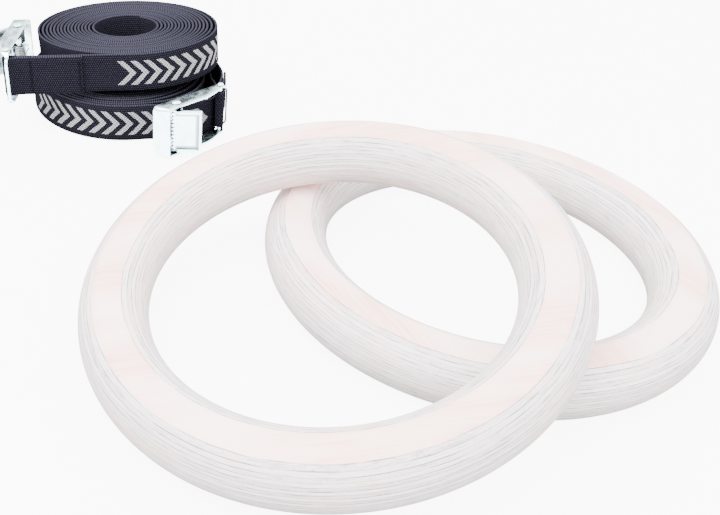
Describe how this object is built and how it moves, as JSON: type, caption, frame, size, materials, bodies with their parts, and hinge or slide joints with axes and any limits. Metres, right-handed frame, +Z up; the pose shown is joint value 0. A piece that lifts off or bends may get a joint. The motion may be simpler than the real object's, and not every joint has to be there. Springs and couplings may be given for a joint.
{
  "type": "gymnastics rings",
  "caption": "Pair of plywood gymnastics rings with coiled webbing straps; each strap ends in a steel cam buckle with a sprung thumb lever.",
  "frame": {"origin": "middle of the whole set's bounding box, on the floor the set lies on", "axes": "+Z up; the set is lowest along Z; +Y runs from the leaning front ring towards the stacked strap rolls"},
  "size_m": [0.417, 0.4334, 0.0756],
  "materials": {
    "birch_plywood": "white-washed, satin",
    "black_webbing": "woven",
    "black_thread": "matt",
    "zinc_plated_steel": "bright zinc",
    "spring_steel": "bright wire"
  },
  "bodies": {
    "rear_ring_body": {"rear_ring": "birch_plywood"},
    "front_ring_body": {"front_ring": "birch_plywood"},
    "lower_strap": {"lower_strap_roll": "black_webbing"},
    "lower_tail": {"lower_strap_end": "black_webbing", "lower_bartack_outer": "black_thread", "lower_bartack_inner": "black_thread"},
    "lower_buckle": {"lower_buckle_frame": "zinc_plated_steel", "lower_strap_bar": "zinc_plated_steel", "lower_lever_pin": "zinc_plated_steel", "lower_cam_spring": "spring_steel"},
    "lower_lever": {"lower_cam_lever": "zinc_plated_steel"},
    "upper_strap": {"upper_strap_roll": "black_webbing"},
    "upper_tail": {"upper_strap_end": "black_webbing", "upper_bartack_outer": "black_thread", "upper_bartack_inner": "black_thread"},
    "upper_buckle": {"upper_buckle_frame": "zinc_plated_steel", "upper_strap_bar": "zinc_plated_steel", "upper_lever_pin": "zinc_plated_steel", "upper_cam_spring": "spring_steel"},
    "upper_lever": {"upper_cam_lever": "zinc_plated_steel"}
  },
  "joints": [
    {"name": "front_ring_lift", "type": "slide", "parent": "rear_ring_body", "child": "front_ring_body", "axis": [0, 0, 1], "range_m": [0, 0.1]},
    {"name": "lower_strap_lift", "type": "slide", "parent": "rear_ring_body", "child": "lower_strap", "axis": [0, 0, 1], "range_m": [0, 0.1]},
    {"name": "lower_tail_bend", "type": "hinge", "parent": "lower_strap", "child": "lower_tail", "pos_m": [-0.06297, 0.15916, 0.0183], "axis": [0, 0, 1], "range_deg": [0, 80]},
    {"name": "lower_buckle_turn", "type": "hinge", "parent": "lower_tail", "child": "lower_buckle", "pos_m": [-0.0584, 0.1085, 0.0183], "axis": [0, 0, 1], "range_deg": [-6, 3]},
    {"name": "lower_lever_press", "type": "hinge", "parent": "lower_buckle", "child": "lower_lever", "pos_m": [-0.08459, 0.0795, 0.0183], "axis": [0, 0, 1], "range_deg": [0, 28], "stiffness_Nm_per_rad": 0.08, "springref_deg": -34.38},
    {"name": "upper_strap_lift", "type": "slide", "parent": "lower_strap", "child": "upper_strap", "axis": [0, 0, 1], "range_m": [0, 0.1]},
    {"name": "upper_tail_bend", "type": "hinge", "parent": "upper_strap", "child": "upper_tail", "pos_m": [-0.10677, 0.10409, 0.0428], "axis": [0, 0, 1], "range_deg": [0, 75]},
    {"name": "upper_buckle_turn", "type": "hinge", "parent": "upper_tail", "child": "upper_buckle", "pos_m": [-0.1906, 0.0877, 0.0428], "axis": [0, 0, 1], "range_deg": [0, 48]},
    {"name": "upper_lever_press", "type": "hinge", "parent": "upper_buckle", "child": "upper_lever", "pos_m": [-0.19232, 0.12674, 0.0428], "axis": [0, 0, 1], "range_deg": [0, 28], "stiffness_Nm_per_rad": 0.08, "springref_deg": -34.38}
  ]
}
